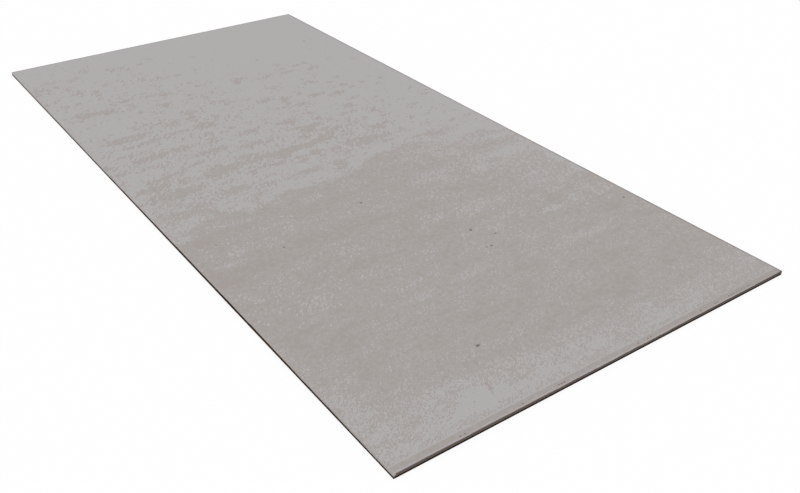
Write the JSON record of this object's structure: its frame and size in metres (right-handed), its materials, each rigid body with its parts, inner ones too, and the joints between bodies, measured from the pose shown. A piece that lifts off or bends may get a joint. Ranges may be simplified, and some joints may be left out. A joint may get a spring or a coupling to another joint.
{
  "type": "fiber cement panel",
  "caption": "Flat rectangular fiber cement building panel in pale mottled grey, with trimmed dark edges and a shallow eased band along one short end.",
  "frame": {"origin": "centre of the back face, on the floor that the panel lies on", "axes": "+Z out of the face, +Y along the length away from the end with the eased band, +X across the width"},
  "size_m": [1.22, 2.44, 0.012],
  "materials": {
    "fiber_cement": "matt, smooth pressed face with pale laitance mottling, dark trimmed edges"
  },
  "bodies": {
    "root": {"fiber_cement_panel": "fiber_cement"}
  },
  "joints": []
}
